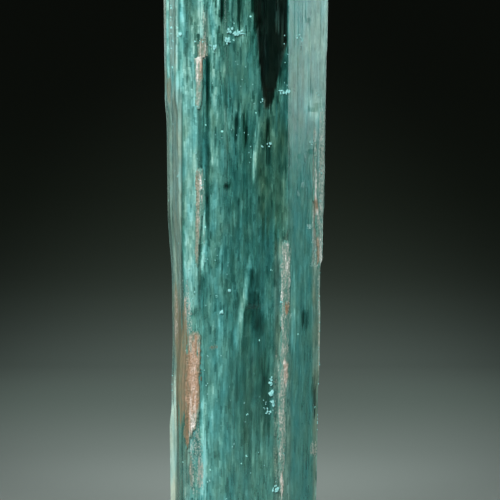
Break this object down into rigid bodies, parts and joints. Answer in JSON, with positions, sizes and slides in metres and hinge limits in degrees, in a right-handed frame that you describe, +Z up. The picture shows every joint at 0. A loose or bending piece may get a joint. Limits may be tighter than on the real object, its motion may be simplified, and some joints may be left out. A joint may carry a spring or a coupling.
{
  "type": "tourmaline crystal",
  "caption": "Blue-green tourmaline crystal: a long, striated, see-through prism with rust-stained crusts in its furrows, standing on a flat base.",
  "frame": {"origin": "centre of the crystal's box, on the flat base that it stands on", "axes": "+Z up along the crystal's length, -Y out of the broad front face's side, +X to the right seen from the front"},
  "size_m": [0.0234, 0.0222, 0.092],
  "materials": {
    "tourmaline": "gloss",
    "stained_crust": "matte",
    "pale_crust": "matte"
  },
  "bodies": {
    "root": {"tourmaline_crystal": "tourmaline", "crust_left_upper": "stained_crust", "crust_left_middle": "stained_crust", "crust_left_lower": "stained_crust", "crust_front_right": "pale_crust", "crust_right_edge": "pale_crust"}
  },
  "joints": []
}
